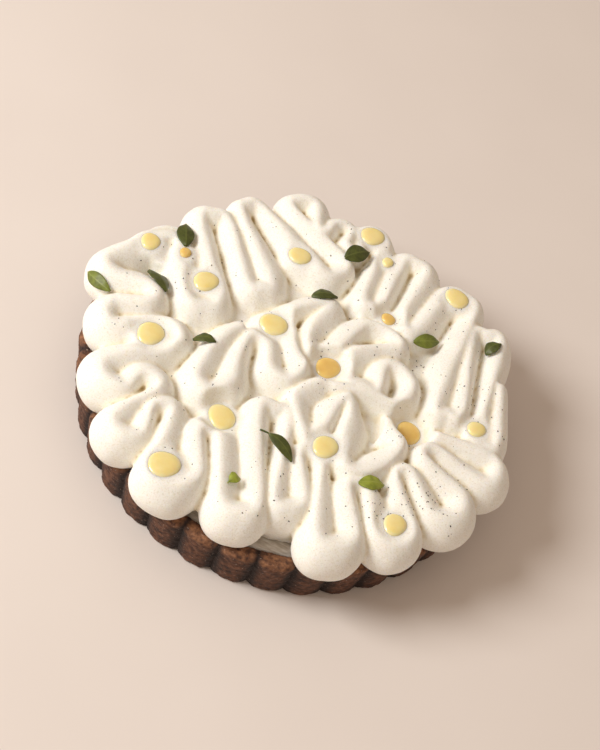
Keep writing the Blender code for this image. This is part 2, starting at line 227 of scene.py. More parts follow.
# Drops of gel as place, width and whether it is amber
DROPS = (
    (-89, 24, 10, False),
    (-72, 26, 6, True),
    (-57, 15, 12, False),
    (-23, 54, 11, False),
    (5, 88, 12, False),
    (17, 76, 6, False),
    (28, 43, 7, True),
    (55, 73, 12, False),
    (-68, -26, 13, False),
    (-20, 9, 13, False),
    (11, 0, 12, True),
    (-23, -50, 13, False),
    (-36, -88, 14, False),
    (24, -45, 12, False),
    (57, -11, 12, True),
    (85, 2, 9, False),
    (65, -66, 11, False),
)
DROP_HALF_HEIGHT = 2.8
DROP_TOP_HEIGHT = 1.9
DROP_SEGMENTS = 48
DROP_RINGS = 14
DROP_NARROWING = 1.03
DROP_UNEVEN = 0.06
DROP_CLEARANCE = 0.05
DROP_ROUNDNESS = 3.0
DISH_LEVEL = 0.5
DISH_EDGE = 6.0

# Leaves as place, length, width, the way that the tip points in degrees, how far the midrib
# bends sideways, the share that is stalk, and the tone
LEAVES = (
    (-101, -8, 16, 6.0, -24, 0, 0, "fresh"),
    (-76, 37, 16, 8.0, 110, 0.5, 0, "dark"),
    (-77, 4, 16, 8.5, -40, 1.0, 0, "dark"),
    (-45, -19, 11, 5.0, 3, 0.6, 0, "dark"),
    (-4, 35, 13, 6.5, 27, 0.6, 0, "dark"),
    (2, 69, 15, 8.5, 48, 0.4, 0, "dark"),
    (49, 39, 14, 6.5, 33, 0, 0, "fresh"),
    (80, 52, 10, 6.0, 55, 0.6, 0, "dark"),
    (4, -56, 20, 5.5, -23, 1.8, 0.2, "dark"),
    (-6, -81, 7, 4.5, 51, 1.2, 0.1, "young"),
    (49, -53, 13, 6.5, 29, 0, 0, "young"),
)
LEAF_THICKNESS = 0.5
LEAF_DOME = 1.6
LEAF_FOLD = 0.1
LEAF_WAVE = 0.12
LEAF_WAVES = 3
LEAF_FULLNESS = 0.8
LEAF_TAPER = 0.35
LEAF_TIP = 0.3
LEAF_LEVELLING = 2.5
LEAF_STEPS = 40
LEAF_ACROSS = 16
LEAF_VEINS = 6
VEIN_RELIEF = 0.12
VEIN_SLANT = 0.55
MIDRIB_HALF = 0.10
SIDE_VEIN_HALF = 0.13
SIDE_VEIN_SHARE = 0.55

# Specks: loose ones all over, and tufts as place, spread and how many
LOOSE_SPECKS = 420
SPECK_REACH = 96
SPECK_SIZES = (0.14, 0.34)
SPECK_LENGTHS = (1, 1.8)
SPECK_FLATNESS = 0.6
SPECK_STEEPEST = 0.2
SPECK_LEFT_SHARE = 0.35
SPECK_RIGHT_GAIN = 0.6
SPECK_TUFTS = (
    (-83, -27, 3, 5),
    (-55, -60, 3, 6),
    (-34, -30, 2, 4),
    (-64, 6, 3, 4),
    (-46, 59, 4, 6),
    (6, 14, 5, 10),
    (19, -20, 4, 6),
    (16, -12, 4, 6),
    (57, -64, 4, 22),
    (65, -49, 6, 24),
    (79, -46, 5, 22),
    (91, -55, 4, 8),
    (79, 22, 6, 22),
    (48, 30, 6, 14),
    (52, -23, 5, 14),
    (97, 3, 3, 6),
)


# Meshes

def add_object(name, bm, *finishes):
    """Turns a bmesh in millimetres into a smooth named object in metres."""
    bmesh.ops.recalc_face_normals(bm, faces=bm.faces)
    bmesh.ops.scale(bm, vec=(MM, MM, MM), verts=bm.verts)
    mesh = bpy.data.meshes.new(name)
    bm.to_mesh(mesh)
    bm.free()
    mesh.shade_smooth()
    for finish in finishes:
        mesh.materials.append(finish)
    made = bpy.data.objects.new(name, mesh)
    bpy.context.scene.collection.objects.link(made)
    return made


def keep_piece(made, slot, *nodes):
    """Puts a piece under its body and hides the solids that it stands for; the slot is not used."""
    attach(made, BODY)
    if nodes:
        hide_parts(*nodes)


def apply_modifiers(item):
    applied = bpy.data.meshes.new_from_object(item.evaluated_get(bpy.context.evaluated_depsgraph_get()))
    item.modifiers.clear()
    item.data = applied


def cut(item, cutter):
    boolean = item.modifiers.new("Cut by " + cutter.name, "BOOLEAN")
    boolean.operation = "DIFFERENCE"
    boolean.solver = "MANIFOLD"
    boolean.object = cutter
    apply_modifiers(item)
    bpy.data.objects.remove(cutter, do_unlink=True)


def stack_rings(bm, rings):
    """Joins closed rings of points with faces, and closes the first and last ring with a fan."""
    loops = [[bm.verts.new(point) for point in ring] for ring in rings]
    count = len(loops[0])
    for low, high in zip(loops, loops[1:]):
        for k in range(count):
            after = (k + 1) % count
            bm.faces.new((low[k], low[after], high[after], high[k]))
    for loop in (loops[0], loops[-1]):
        middle = bm.verts.new((0, 0, loop[0].co.z))
        for k in range(count):
            bm.faces.new((loop[k], loop[(k + 1) % count], middle))


def ring_of(radius_at, height_at, count):
    angles = [FLUTE_START + k * tau / count for k in range(count)]
    return [(radius_at(a) * cos(a), radius_at(a) * sin(a), height_at(a)) for a in angles]


def level_ring(radius, height, count):
    return ring_of(lambda a: radius, lambda a: height, count)


def roughen(bm, amounts):
    """Moves each point along its normal by noise, given as grain across, grain up and depth."""
    bm.normal_update()
    moved = []
    for vert in bm.verts:
        x, y, z = vert.co
        depth = sum(
            amount * noise.noise(Vector((x / across, y / across, z / up)))
            for across, up, amount in amounts)
        moved.append(vert.co + vert.normal * depth)
    for vert, place in zip(bm.verts, moved):
        vert.co = place


# Materials

def new_material(name, roughness):
    made = bpy.data.materials.new(name)
    made.use_nodes = True
    shader = made.node_tree.nodes["Principled BSDF"]
    shader.inputs["Roughness"].default_value = roughness
    return made, made.node_tree, shader


def noise_node(tree, scale, detail=4, stretch=(1, 1, 1)):
    """Noise in the piece's own coordinates, with scale in features for each metre."""
    place = tree.nodes.new("ShaderNodeTexCoord")
    mapping = tree.nodes.new("ShaderNodeMapping")
    mapping.inputs["Scale"].default_value = stretch
    tree.links.new(place.outputs["Object"], mapping.inputs["Vector"])
    made = tree.nodes.new("ShaderNodeTexNoise")
    made.inputs["Scale"].default_value = scale
    made.inputs["Detail"].default_value = detail
    tree.links.new(mapping.outputs["Vector"], made.inputs["Vector"])
    return made.outputs["Fac"]


def ramp_node(tree, factor, stops):
    """A colour ramp through stops of position and colour."""
    made = tree.nodes.new("ShaderNodeValToRGB")
    elements = made.color_ramp.elements
    while len(elements) < len(stops):
        elements.new(0.5)
    for element, (position, colour) in zip(elements, stops):
        element.position = position
        element.color = (*colour, 1)
    tree.links.new(factor, made.inputs["Fac"])
    return made.outputs["Color"]


def mix_node(tree, factor, first, second):
    made = tree.nodes.new("ShaderNodeMix")
    made.data_type = "RGBA"
    tree.links.new(factor, made.inputs["Factor"])
    tree.links.new(first, made.inputs["A"])
    tree.links.new(second, made.inputs["B"])
    return made.outputs["Result"]


def bump_node(tree, height, strength, distance, under=None):
    made = tree.nodes.new("ShaderNodeBump")
    made.inputs["Strength"].default_value = strength
    made.inputs["Distance"].default_value = distance * MM
    tree.links.new(height, made.inputs["Height"])
    if under:
        tree.links.new(under, made.inputs["Normal"])
    return made.outputs["Normal"]


def attribute_node(tree, name):
    made = tree.nodes.new("ShaderNodeAttribute")
    made.attribute_name = name
    return made.outputs["Fac"]


def soft_inside(shader, weight, radius, scale):
    """Lets light through the surface, to a depth in millimetres that differs by colour."""
    shader.inputs["Subsurface Weight"].default_value = weight
    shader.inputs["Subsurface Radius"].default_value = radius
    shader.inputs["Subsurface Scale"].default_value = scale * MM


def cream_material():
    """Whipped cream: warm white, faintly mottled, with fine bubbles, and painted shade in its creases:
    yellowish, and dark brown in the deepest.
    """
    made, tree, shader = new_material("whipped cream", 0.62)
    mottle = ramp_node(tree, noise_node(tree, 1400, 3), (
        (0.30, (0.82, 0.78, 0.68)),
        (0.46, (0.93, 0.91, 0.84)),
        (0.70, (0.96, 0.945, 0.89)),
    ))
    # Painted shade for the creases: a yellow-beige, and a dark brown for the deepest of them
    warm = ramp_node(tree, noise_node(tree, 500, 2), (
        (0.3, (0.76, 0.64, 0.40)),
        (0.7, (0.84, 0.74, 0.50)),
    ))
    dark = ramp_node(tree, noise_node(tree, 500, 2), (
        (0.3, (0.40, 0.28, 0.12)),
        (0.7, (0.52, 0.39, 0.19)),
    ))
    # Mixes the painted crease shade into the cream's colour, darkest in the deepest hollows
    deepest_crease_shade = ramp_node(tree, attribute_node(tree, "crease_shade"), ((0.55, (0, 0, 0)), (1.0, (1, 1, 1))))
    with_crease_shade = mix_node(tree, attribute_node(tree, "crease_shade"), mottle, warm)
    tree.links.new(mix_node(tree, deepest_crease_shade, with_crease_shade, dark), shader.inputs["Base Color"])
    fine = bump_node(tree, noise_node(tree, 1700, 4), 0.8, 0.24)
    wide = bump_node(tree, noise_node(tree, 600, 3), 0.5, 0.35, fine)
    tree.links.new(wide, shader.inputs["Normal"])
    soft_inside(shader, 0.5, (1.0, 0.88, 0.70), 2.6)
    return made


def crust_material():
    """Chocolate pastry with pale dry flecks, a browner baked rim whose top face is painted lighter as
    painted light, and painted shade darkening its flute cusps.
    """
    made, tree, shader = new_material("chocolate pastry", 0.78)
    wall = ramp_node(tree, noise_node(tree, 420, 8), (
        (0.32, (0.034, 0.014, 0.009)),
        (0.50, (0.100, 0.040, 0.021)),
        (0.68, (0.180, 0.078, 0.043)),
    ))
    # The rim's top face: browner baked pastry, painted lighter as painted light
    top = ramp_node(tree, noise_node(tree, 500, 8), (
        (0.34, (0.065, 0.027, 0.015)),
        (0.50, (0.175, 0.074, 0.034)),
        (0.70, (0.32, 0.150, 0.070)),
    ))
    baked_and_lit = mix_node(tree, attribute_node(tree, "rim"), wall, top)
    # Painted shade for the flute cusps
    deep = ramp_node(tree, noise_node(tree, 300, 3), (
        (0.3, (0.010, 0.005, 0.004)),
        (0.7, (0.030, 0.013, 0.009)),
    ))
    with_crease_shade = mix_node(tree, attribute_node(tree, "crease_shade"), baked_and_lit, deep)
    fleck_colour = ramp_node(tree, noise_node(tree, 900, 2), (
        (0.3, (0.30, 0.20, 0.15)),
        (0.7, (0.62, 0.50, 0.42)),
    ))
    flecks = ramp_node(tree, noise_node(tree, 1100, 3), ((0.66, (0, 0, 0)), (0.74, (0.7, 0.7, 0.7))))
    tree.links.new(mix_node(tree, flecks, with_crease_shade, fleck_colour), shader.inputs["Base Color"])
    crumb = bump_node(tree, noise_node(tree, 1500, 6), 0.7, 0.35)
    streaks = bump_node(tree, noise_node(tree, 260, 4, (1, 1, 6)), 0.45, 0.4, crumb)
    tree.links.new(streaks, shader.inputs["Normal"])
    return made


def filling_material():
    """Set pale filling with greyish streaks where the knife went over it."""
    made, tree, shader = new_material("pale filling", 0.42)
    streaks = ramp_node(tree, noise_node(tree, 120, 6, (1, 4, 1)), (
        (0.35, (0.42, 0.37, 0.31)),
        (0.52, (0.66, 0.61, 0.54)),
        (0.66, (0.86, 0.84, 0.80)),
    ))
    tree.links.new(streaks, shader.inputs["Base Color"])
    ripples = bump_node(tree, noise_node(tree, 300, 4, (1, 4, 1)), 0.5, 0.4)
    tree.links.new(ripples, shader.inputs["Normal"])
    return made


def gel_material(name, rim, pale, deep):
    """Lemon gel: wet and cloudy, with a slow change of depth and a paler rim."""
    made, tree, shader = new_material(name, 0.16)
    body = ramp_node(tree, noise_node(tree, 160, 3), ((0.3, deep), (0.7, pale)))
    thin = ramp_node(tree, noise_node(tree, 300, 3), ((0.3, pale), (0.7, rim)))
    outside = ramp_node(tree, attribute_node(tree, "edge"), ((0.72, (0, 0, 0)), (1.0, (0.9, 0.9, 0.9))))
    tree.links.new(mix_node(tree, outside, body, thin), shader.inputs["Base Color"])
    tree.links.new(bump_node(tree, noise_node(tree, 500, 2), 0.12, 0.3), shader.inputs["Normal"])
    soft_inside(shader, 0.5, (1.0, 0.75, 0.25), 2.5)
    shader.inputs["IOR"].default_value = 1.4
    shader.inputs["Coat Weight"].default_value = 0.3
    shader.inputs["Coat Roughness"].default_value = 0.08
    return made


def leaf_material(name, blade, light):
    """Basil leaf: a light midrib and side veins on a mottled blade with a soft sheen."""
    made, tree, shader = new_material(name, 0.48)
    blade_colour = ramp_node(tree, noise_node(tree, 350, 4), (
        (0.3, tuple(0.62 * part for part in blade)),
        (0.7, tuple(1.25 * part for part in blade)),
    ))
    light_colour = ramp_node(tree, noise_node(tree, 600, 2), (
        (0.3, tuple(0.8 * part for part in light)),
        (0.7, light),
    ))
    colour = mix_node(tree, attribute_node(tree, "vein"), blade_colour, light_colour)
    tree.links.new(colour, shader.inputs["Base Color"])
    tree.links.new(bump_node(tree, noise_node(tree, 1200, 3), 0.3, 0.15), shader.inputs["Normal"])
    soft_inside(shader, 0.12, (0.5, 1.0, 0.2), 0.8)
    return made


def speck_material():
    made, tree, shader = new_material("ground vanilla", 0.7)
    colour = ramp_node(tree, noise_node(tree, 900, 2), (
        (0.3, (0.010, 0.008, 0.007)),
        (0.7, (0.06, 0.045, 0.035)),
    ))
    tree.links.new(colour, shader.inputs["Base Color"])
    return made


def floor_material():
    made, tree, shader = new_material("pale table", 0.8)
    colour = ramp_node(tree, noise_node(tree, 12, 2), (
        (0.3, (0.79, 0.72, 0.67)),
        (0.7, (0.81, 0.74, 0.69)),
    ))
    tree.links.new(colour, shader.inputs["Base Color"])
    return made


# Crust and filling

def flute_bump(angle):
    return abs(sin((angle - FLUTE_START) * FLUTES / 2)) ** FLUTE_ROUNDING


def wall_radius(height):
    return CRUST_CUSP_RADIUS + CRUST_FLARE * height


def inner_radius(height):
    return wall_radius(height) - CRUST_WALL


def crust_rows():
    """Rows up the wall and over the rim, as inset from the fluted outline and height."""
    rows = [(CRUST_WALL, 0)]
    for k in range(ROUND_ROWS):
        turn = pi / 2 * k / ROUND_ROWS
        rows.append((FOOT_ROUND * (1 - sin(turn)), FOOT_ROUND * (1 - cos(turn))))
    low = FOOT_ROUND
    high = CRUST_HEIGHT - RIM_ROUND
    for k in range(WALL_ROWS):
        rows.append((0, low + (high - low) * k / WALL_ROWS))
    for k in range(ROUND_ROWS + 1):
        turn = pi / 2 * k / ROUND_ROWS
        rows.append((RIM_ROUND * (1 - cos(turn)), high + RIM_ROUND * sin(turn)))
    return rows


def make_crust(finish):
    count = FLUTES * FINE_FLUTE_STEPS
    bm = bmesh.new()
    rings = []
    for inset, height in crust_rows():
        rings.append(ring_of(
            lambda a: wall_radius(height) + FLUTE_DEPTH * flute_bump(a) - inset, lambda a: height, count))
    inner = inner_radius(CRUST_HEIGHT)
    outer = wall_radius(CRUST_HEIGHT) - RIM_ROUND
    for k in range(1, RIM_ROWS + 1):
        share = k / RIM_ROWS
        inward = (inner + RIM_INNER_ROUND) * share
        rings.append(ring_of(
            lambda a: (outer + FLUTE_DEPTH * flute_bump(a)) * (1 - share) + inward,
            lambda a: CRUST_HEIGHT, count))
    rings.append(level_ring(inner, CRUST_HEIGHT - RIM_INNER_ROUND, count))
    rings.append(level_ring(inner_radius(CRUST_FLOOR), CRUST_FLOOR, count))
    stack_rings(bm, rings)
    bmesh.ops.recalc_face_normals(bm, faces=bm.faces)
    roughen(bm, CRUST_RELIEF)
    for vert in bm.verts:
        vert.co.z = max(vert.co.z, 0)
    crust = add_object("fine_crust", bm, finish)
    paint_crust(crust)
    keep_piece(crust, "crust", "crust")


def paint_crust(crust):
    """Keeps, for the material, how much painted light each point takes on the rim's top face, and how
    much painted shade it takes in the flute cusps, more towards the foot and less on the rim.
    """
    rim = crust.data.attributes.new("rim", "FLOAT", "POINT")
    crease_shade = crust.data.attributes.new("crease_shade", "FLOAT", "POINT")
    for vert, lit_rim_share, cusp_shade in zip(crust.data.vertices, rim.data, crease_shade.data):
        place = vert.co / MM
        angle = Vector((place.x, place.y)).angle_signed(Vector((1, 0)), 0)
        # Painted light on the rim's top face, over its browner bake
        lift = (place.z - CRUST_HEIGHT + RIM_COLOUR_START * RIM_ROUND) / (RIM_COLOUR_FADE * RIM_ROUND)
        lift += RIM_COLOUR_UNEVEN * noise.noise(place / RIM_COLOUR_GRAIN)
        lit_rim_share.value = min(max(lift, 0), 1)
        # Painted shade in the flute cusps, deeper towards the foot and less on the rim's top
        cusp = CUSP_DARKNESS * (1 - flute_bump(angle))
        foot = FOOT_DARKNESS * (1 - place.z / CRUST_HEIGHT)
        cusp_shade.value = min(max(cusp + foot - FOOT_DARKNESS - RIM_LIGHTNESS * lit_rim_share.value, 0), 1)


def make_filling(finish):
    """The filling's top, a little wavy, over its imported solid's own outline."""
    low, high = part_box("filling")
    top = high.z / MM
    bm = bmesh.new()
    rings = [level_ring(inner_radius(CRUST_FLOOR) - 2 * GAP, low.z / MM, ROUND_SIDES)]
    reach = inner_radius(top) - 2 * GAP
    for k in range(FILLING_ROWS):
        rings.append(level_ring(reach * (1 - k / FILLING_ROWS), top - GAP, ROUND_SIDES))
    stack_rings(bm, rings)
    across, along = FILLING_WAVE_GRAIN
    for vert in bm.verts:
        if vert.co.z > top - FILLING_SKIN:
            spot = Vector((vert.co.x / across, vert.co.y / along, 0))
            vert.co.z += FILLING_WAVE * GAP * noise.noise(spot)
    keep_piece(add_object("fine_filling", bm, finish), "filling", "filling")


# Piped cream

def polar(angle, reach):
    return Vector((reach * cos(radians(angle)), reach * sin(radians(angle))))


def fold_route():
    """Leads the outer strand through every turn, with a shoulder on each side of it."""
    tips = [polar(angle, reach) for angle, reach, half_gap in FOLDS]
    route = []
    for k, (angle, reach, half_gap) in enumerate(FOLDS):
        tip = tips[k]
        at_rim = reach > RIM_REACH
        half_width = NOSE_BASE + NOSE_SHARE * half_gap if at_rim and half_gap else STRAND_HALF_WIDTH
        crest = STRAND_TOP - (RIM_SINK if at_rim else 0)
        if not half_gap:
            route.append((tip, half_width, crest))
            continue
        along = (tip - (tips[k - 1] + tips[k + 1]) / 2).normalized()
        across = Vector((-along.y, along.x))
        if across.dot(tips[k + 1] - tips[k - 1]) < 0:
            across = -across
        for side in (-1, 0, 1):
            place = tip + half_gap * (across * side - along * TURN_ROUNDNESS * abs(side))
            route.append((place, half_width, crest))
    return route


def smooth_route(route):
    """Points about STRAND_STEP apart on a Catmull-Rom curve through the route."""
    last = len(route) - 1
    points = []
    for k in range(last):
        a, b, c, d = (route[min(max(k + i, 0), last)] for i in (-1, 0, 1, 2))
        steps = max(1, round((c[0] - b[0]).length / STRAND_STEP))
        for i in range(steps):
            t = i / steps
            place = 0.5 * (2 * b[0] + (c[0] - a[0]) * t + (2 * a[0] - 5 * b[0] + 4 * c[0] - d[0]) * t * t
                           + (3 * b[0] - a[0] - 3 * c[0] + d[0]) * t * t * t)
            points.append((place, b[1] + (c[1] - b[1]) * t, b[2] + (c[2] - b[2]) * t))
    points.append(route[last])
    return points


def uneven(points):
    """Lets the strand's width and crest wander a little, as a piped strand's do."""
    wandering = []
    for place, half_width, crest in points:
        spot = Vector((place.x, place.y, 0))
        wider = 1 + WIDTH_UNEVEN * noise.noise(spot / WIDTH_GRAIN)
        higher = CREST_UNEVEN * noise.noise(spot / CREST_GRAIN + CREST_NOISE_SHIFT)
        wandering.append((place, half_width * wider, crest + higher))
    return wandering


def directions(points, k):
    """The ways along and to the left of a strand at one of its points."""
    last = len(points) - 1
    along = (points[min(k + 1, last)][0] - points[max(k - 1, 0)][0]).normalized()
    return along, Vector((-along.y, along.x))


def spread_out(strands):
    """Widens every strand on each side until it meets its neighbour, and returns strands whose
    points give a place, a half width to the left and to the right, and a crest."""
    owners = [(strand, k) for strand, points in enumerate(strands) for k in range(len(points))]
    tree = KDTree(len(owners))
    for index, (strand, k) in enumerate(owners):
        tree.insert((*strands[strand][k][0], 0), index)
    tree.balance()
    widened = []
    for strand, points in enumerate(strands):
        halves = []
        for k, (place, half_width, crest) in enumerate(points):
            along, across = directions(points, k)
            # True stands for the left and False for the right
            room = {True: None, False: None}
            meeting = {True: TIGHT_MEETING, False: TIGHT_MEETING}
            for spot, index, distance in tree.find_range((*place, 0), NEIGHBOUR_REACH):
                other, m = owners[index]
                offset = spot.to_2d() - place
                sideways = offset.dot(across)
                if other == strand and abs(m - k) * STRAND_STEP < OWN_LENGTH:
                    continue
                if abs(sideways) < abs(offset.dot(along)):
                    continue
                if room[sideways > 0] is None or distance < room[sideways > 0]:
                    room[sideways > 0] = distance
                    meeting[sideways > 0] = TIGHT_MEETING
                    if other == strand and abs(m - k) * STRAND_STEP < ONE_FOLD:
                        turn = points[(m + k) // 2][0] - (place + spot.to_2d()) / 2
                        open_share = (1 - turn.normalized().y) / 2
                        meeting[sideways > 0] += (SOFT_MEETING - TIGHT_MEETING) * open_share
            halves.append([
                side_width(room[left], meeting[left], half_width) for left in (True, False)])
        widened.append([
            (place, *mean_of(halves[max(k - EVEN_OUT, 0):k + EVEN_OUT + 1]), crest)
            for k, (place, half_width, crest) in enumerate(points)])
    return widened


def side_width(room, meeting, half_width):
    """How wide one side of the strand gets: up to its neighbour, or as piped where there is none."""
    if not room:
        return half_width
    return min(max(room / 2 + meeting, LEAST_HALF), MOST_HALF)


def mean_of(pairs):
    return [sum(pair[side] for pair in pairs) / len(pairs) for side in (0, 1)]


def sweep_strand(bm, points):
    """A tall rounded strand along points of a place, its half widths left and right, and a crest."""
    loops = []
    for k, (place, left, right, crest) in enumerate(points):
        across = directions(points, k)[1]
        middle = (crest + STRAND_FOOT) / 2
        half_height = (crest - STRAND_FOOT) / 2
        loop = []
        for i in range(STRAND_SIDES):
            turn = tau * i / STRAND_SIDES
            half = left if cos(turn) > 0 else right
            sharpness = CREST_SHARPNESS if sin(turn) > 0 else 1
            reach = half * cos(turn) * abs(cos(turn)) ** (sharpness - 1)
            rise = half_height * sin(turn) * abs(sin(turn)) ** (sharpness - 1)
            side = place + across * reach
            loop.append(bm.verts.new((side.x, side.y, middle + rise)))
        loops.append(loop)
    for first, second in zip(loops, loops[1:]):
        for i in range(STRAND_SIDES):
            j = (i + 1) % STRAND_SIDES
            bm.faces.new((first[i], first[j], second[j], second[i]))
    bm.faces.new(loops[0])
    bm.faces.new(reversed(loops[-1]))


def filling_top():
    return CRUST_HEIGHT - FILLING_BELOW_RIM


def add_bed(bm):
    """The layer of cream under the strands, which closes the gaps between the folds."""
    foot = filling_top() + GAP
    bmesh.ops.create_cone(
        bm, cap_ends=True, segments=ROUND_SIDES, radius1=BED_RADIUS, radius2=BED_TOP_RADIUS,
        depth=BED_TOP - foot, matrix=Matrix.Translation((0, 0, (BED_TOP + foot) / 2)))
    bmesh.ops.create_cone(
        bm, cap_ends=True, segments=ROUND_SIDES, radius1=CORNER_FOOT_RADIUS, radius2=CORNER_TOP_RADIUS,
        depth=CORNER_TOP - foot, matrix=Matrix.Translation((*CORNER, (CORNER_TOP + foot) / 2)))


def make_seat():
    """What the cream stays clear of: the crust and the filling with a gap all round."""
    rim = CRUST_HEIGHT + GAP
    reach = wall_radius(CRUST_HEIGHT) + FLUTE_DEPTH + SEAT_MARGIN
    inside = inner_radius(CRUST_HEIGHT) - SEAT_STEP
    bm = bmesh.new()
    stack_rings(bm, [
        level_ring(reach, 0, ROUND_SIDES),
        level_ring(reach, rim, ROUND_SIDES),
        level_ring(inside, rim, ROUND_SIDES),
        level_ring(inside - SEAT_STEP, filling_top() + GAP, ROUND_SIDES),
    ])
    return add_object("seat", bm)


def body_with(face):
    """All the faces that can be reached from one across shared edges."""
    found = {face}
    waiting = [face]
    while waiting:
        for edge in waiting.pop().edges:
            for neighbour in edge.link_faces:
                if neighbour not in found:
                    found.add(neighbour)
                    waiting.append(neighbour)
    return found


def drop_scraps(item):
    """Keeps the largest body, without the crumbs that the cuts leave."""
    bm = bmesh.new()
    bm.from_mesh(item.data)
    left = set(bm.faces)
    bodies = []
    while left:
        body = body_with(next(iter(left)))
        bodies.append(body)
        left -= body
    bodies.sort(key=len)
    for scrap in bodies[:-1]:
        bmesh.ops.delete(bm, geom=list(scrap), context="FACES")
    bm.to_mesh(item.data)
    bm.free()


def reshape(item, change):
    """Lets a change that works in millimetres move the points of a mesh in metres."""
    bm = bmesh.new()
    bm.from_mesh(item.data)
    bmesh.ops.scale(bm, vec=(1 / MM, 1 / MM, 1 / MM), verts=bm.verts)
    change(bm)
    bmesh.ops.scale(bm, vec=(MM, MM, MM), verts=bm.verts)
    bm.to_mesh(item.data)
    bm.free()


def run_together(cream):
    """Makes one closed skin of the strands and the bed."""
    remesh = cream.modifiers.new("Run together", "REMESH")
    remesh.mode = "VOXEL"
    remesh.voxel_size = CREAM_VOXEL * MM
    apply_modifiers(cream)


def make_cream(finish):
    bm = bmesh.new()
    coil = [(Vector(place), COIL_HALF_WIDTH, COIL_TOP) for place in COIL]
    for points in spread_out([uneven(smooth_route(route)) for route in (fold_route(), coil)]):
        sweep_strand(bm, points)
    add_bed(bm)
    cream = add_object("fine_cream", bm, finish)
    run_together(cream)
    reshape(cream, press_dishes)
    run_together(cream)
    soften = cream.modifiers.new("Soften", "SMOOTH")
    soften.iterations = CREAM_SMOOTHING
    apply_modifiers(cream)
    reshape(cream, lambda bm: roughen(bm, CREAM_RELIEF))
    return cream


def paint_crease_shade(cream):
    """Keeps how much painted shade each point takes, from how deep it lies in a hollow: how far its
    neighbours stand above it.
    """
    bm = bmesh.new()
    bm.from_mesh(cream.data)
    bm.normal_update()
    hollow = []
    for vert in bm.verts:
        around = [edge.other_vert(vert).co for edge in vert.link_edges]
        middle = sum(around, Vector()) / len(around)
        hollow.append((middle - vert.co).dot(vert.normal) / MM)
    for k in range(CREASE_SPREADING):
        hollow = [
            (hollow[vert.index] + sum(hollow[edge.other_vert(vert).index] for edge in vert.link_edges))
            / (1 + len(vert.link_edges)) for vert in bm.verts]
    bm.free()
    crease_shade = cream.data.attributes.new("crease_shade", "FLOAT", "POINT")
    for place, depth in zip(crease_shade.data, hollow):
        place.value = min(max((depth - CREASE_START) / CREASE_RANGE, 0), 1)


def surface_of(item):
    return BVHTree.FromObject(item, bpy.context.evaluated_depsgraph_get())


def height_on(surface, x, y):
    """Height in millimetres where a plumb line at x, y first meets the cream."""
    place = surface.ray_cast(Vector((x, y, 2 * STRAND_TOP)) * MM, Vector((0, 0, -1)))[0]
    return place.z / MM if place else CRUST_HEIGHT


def lie_of_cream(surface, x, y, spread):
    """Mean height and slope of the cream round a place."""
    east, west = height_on(surface, x + spread, y), height_on(surface, x - spread, y)
    north, south = height_on(surface, x, y + spread), height_on(surface, x, y - spread)
    mean = (east + west + north + south + 2 * height_on(surface, x, y)) / 6
    return mean, (east - west) / (2 * spread), (north - south) / (2 * spread)


# Drops of gel

def drop_shape(bm, middle, width, phase, margin):
    """A flat-topped lens with a slightly uneven outline, rounder below than above."""
    half = width / 2 + margin
    edge = bm.verts.layers.float.get("edge") or bm.verts.layers.float.new("edge")
    rings = []
    for k in range(1, DROP_RINGS):
        turn = pi * k / DROP_RINGS - pi / 2
        share = cos(turn) ** (2 / DROP_ROUNDNESS)
        height = DROP_TOP_HEIGHT if turn > 0 else DROP_HALF_HEIGHT
        rise = (height + margin) * sin(turn)
        ring = []
        for i in range(DROP_SEGMENTS):
            angle = tau * i / DROP_SEGMENTS
            oval = DROP_UNEVEN * sin(2 * angle + phase)
            lobes = DROP_UNEVEN / 2 * sin(3 * angle)
            reach = half * share * (1 + oval + lobes)
            spot = Vector((reach * cos(angle), reach * DROP_NARROWING * sin(angle), rise))
            vert = bm.verts.new(middle + spot)
            vert[edge] = share
            ring.append(vert)
        rings.append(ring)
    for low, high in zip(rings, rings[1:]):
        for i in range(DROP_SEGMENTS):
            j = (i + 1) % DROP_SEGMENTS
            bm.faces.new((low[i], low[j], high[j], high[i]))
    bm.faces.new(reversed(rings[0]))
    bm.faces.new(rings[-1])


def drop_height(k):
    """The height of a packed drop's middle, which is its widest place."""
    low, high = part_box("gel_drop_{:02d}".format(k))
    return (low.z + high.z) / 2 / MM


def press_dishes(bm):
    """Eases the top of the cream to the level of each drop's edge, in a shallow dish round it."""
    bm.normal_update()
    for k, (x, y, width, is_amber) in enumerate(DROPS, 1):
        level = drop_height(k) + DISH_LEVEL
        for vert in bm.verts:
            away = Vector((vert.co.x - x, (vert.co.y - y) / DROP_NARROWING)).length - width / 2
            if away < DISH_EDGE and vert.normal.z > 0:
                share = max(away / DISH_EDGE, 0)
                vert.co.z += (level - vert.co.z) * (1 - share * share * (3 - 2 * share))


def make_drops(pale, amber):
    """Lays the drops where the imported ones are, and returns the hollow that they need."""
    hollow = bmesh.new()
    for k, (x, y, width, is_amber) in enumerate(DROPS, 1):
        node = "gel_drop_{:02d}".format(k)
        middle = Vector((x, y, drop_height(k)))
        phase = chance.uniform(0, tau)
        bm = bmesh.new()
        drop_shape(bm, middle, width, phase, 0)
        keep_piece(add_object("fine_" + node, bm, amber if is_amber else pale), "gel", node)
        drop_shape(hollow, middle, width, phase, DROP_CLEARANCE)
    return add_object("drop_hollows", hollow)


# Leaves

def leaf_half_width(s, width, stalk):
    """Half the width at s from stalk to tip: a thin stalk, then a blade that tapers to its tip."""
    blade = max(0, s - stalk) / (1 - stalk)
    return width / 2 * sin(pi * blade) ** LEAF_FULLNESS * (1 + LEAF_TAPER * (0.5 - blade)) + LEAF_TIP


